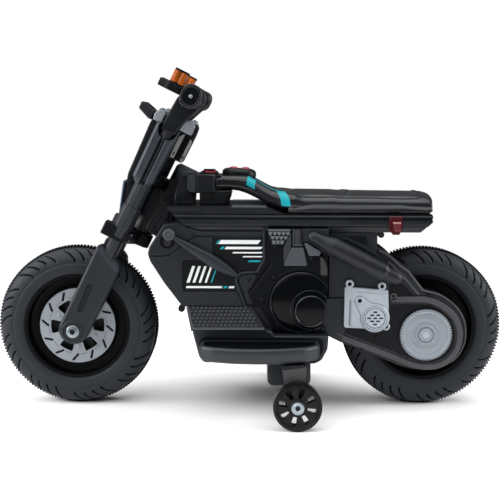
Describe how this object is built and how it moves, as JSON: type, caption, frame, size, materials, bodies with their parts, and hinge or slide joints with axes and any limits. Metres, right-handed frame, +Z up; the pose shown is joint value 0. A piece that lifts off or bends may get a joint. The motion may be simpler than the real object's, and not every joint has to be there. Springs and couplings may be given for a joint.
{
  "type": "ride-on electric motorbike",
  "caption": "Child's ride-on electric motorbike with turning fork and handlebar, spinning tyres, side stabiliser wheels, padded seat, footboards, pedal and control buttons.",
  "frame": {"origin": "on the ground under the middle of the overall box", "axes": "+X forward, +Y to the rider's left, +Z up"},
  "size_m": [0.999, 0.472, 0.6587],
  "materials": {
    "tyre_rubber": "matte",
    "rim_black": "satin",
    "disc_silver": "satin",
    "steel": "satin",
    "gear_plastic": "satin",
    "frame_black": "satin",
    "body_black": "satin",
    "engine_gloss": "gloss",
    "trim_grey": "satin",
    "seat_cover": "satin",
    "lamp_amber": "gloss",
    "lamp_red": "gloss",
    "lens_blue": "gloss",
    "button_red": "gloss"
  },
  "bodies": {
    "chassis": {"battery": "body_black", "belly_pan": "body_black", "body_fasteners": "steel", "body_shell_left": "body_black", "body_shell_right": "body_black", "button_pad": "body_black", "control_box": "body_black", "drive_motor": "steel", "engine_covers": "engine_gloss", "footboard_left": "body_black", "footboard_right": "body_black", "gear_discs": "disc_silver", "head_tube": "frame_black", "mufflers": "body_black", "neck_cover": "body_black", "rear_axle": "steel", "rear_case_left": "body_black", "rear_case_right": "body_black", "rear_fender": "body_black", "seat": "seat_cover", "seat_rails": "body_black", "side_covers": "disc_silver", "side_struts": "body_black", "side_trims": "trim_grey", "speaker": "body_black", "stabiliser_block": "body_black", "stabiliser_legs": "frame_black", "tail_lights": "lamp_red", "tank_arm": "body_black", "tread_plates": "body_black"},
    "steering": {"fork_legs": "body_black", "fork_tubes": "frame_black", "fork_crown": "frame_black", "steering_stem": "steel", "upper_bracket": "frame_black", "fork_shrouds": "body_black", "column_cover": "body_black", "front_mask": "body_black", "headlight_lens": "lens_blue", "top_clamp": "disc_silver", "display": "body_black", "handlebar": "frame_black", "grips": "tyre_rubber", "lever_brackets": "body_black", "turn_lamps": "lamp_amber", "front_axle": "steel", "steering_fasteners": "steel"},
    "front_wheel": {"front_tyre": "tyre_rubber", "front_rim": "rim_black", "front_discs": "disc_silver"},
    "rear_wheel": {"rear_tyre": "tyre_rubber", "rear_rim": "rim_black", "drive_gear": "gear_plastic"},
    "stabiliser_wheel_l": {"stabiliser_wheel_left": "tyre_rubber"},
    "stabiliser_wheel_r": {"stabiliser_wheel_right": "tyre_rubber"},
    "pedal": {"accelerator_pedal": "body_black"},
    "rocker": {"rocker_switch": "button_red"},
    "power": {"power_button": "button_red"},
    "music": {"music_button": "button_red"},
    "motor_rotor": {"motor_pinion": "steel"}
  },
  "joints": [
    {"name": "steering_turn", "type": "hinge", "parent": "chassis", "child": "steering", "pos_m": [0.31274, 0, 0.14397], "axis": [-0.4384, 0, 0.8988], "range_deg": [-25, 25]},
    {"name": "front_wheel_spin", "type": "hinge", "parent": "steering", "child": "front_wheel", "pos_m": [0.3415, 0, 0.158], "axis": [0, 1, 0], "continuous": true},
    {"name": "rear_wheel_spin", "type": "hinge", "parent": "chassis", "child": "rear_wheel", "pos_m": [-0.3415, 0, 0.158], "axis": [0, 1, 0], "continuous": true},
    {"name": "stabiliser_spin_left", "type": "hinge", "parent": "chassis", "child": "stabiliser_wheel_l", "pos_m": [-0.088, 0.202, 0.045], "axis": [0, 1, 0], "continuous": true},
    {"name": "stabiliser_spin_right", "type": "hinge", "parent": "chassis", "child": "stabiliser_wheel_r", "pos_m": [-0.088, -0.202, 0.045], "axis": [0, 1, 0], "continuous": true},
    {"name": "pedal_press", "type": "hinge", "parent": "chassis", "child": "pedal", "pos_m": [0.014, -0.164, 0.1515], "axis": [0, 1, 0], "range_deg": [0, 10], "stiffness_Nm_per_rad": 1.2, "springref_deg": -2.86},
    {"name": "rocker_tilt", "type": "hinge", "parent": "chassis", "child": "rocker", "pos_m": [0.0785, 0, 0.46], "axis": [0, 1, 0], "range_deg": [-8, 8]},
    {"name": "power_press", "type": "slide", "parent": "chassis", "child": "power", "axis": [0, 0, -1], "range_m": [0, 0.002], "stiffness_N_per_m": 400, "springref_m": -0.0005},
    {"name": "music_press", "type": "slide", "parent": "chassis", "child": "music", "axis": [0, 0, -1], "range_m": [0, 0.002], "stiffness_N_per_m": 400, "springref_m": -0.0005},
    {"name": "motor_spin", "type": "hinge", "parent": "chassis", "child": "motor_rotor", "pos_m": [-0.2963, 0, 0.158], "axis": [0, 1, 0], "continuous": true}
  ],
  "couplings": [
    {"joint": "motor_spin", "follows": "rear_wheel_spin", "ratio": -4}
  ]
}
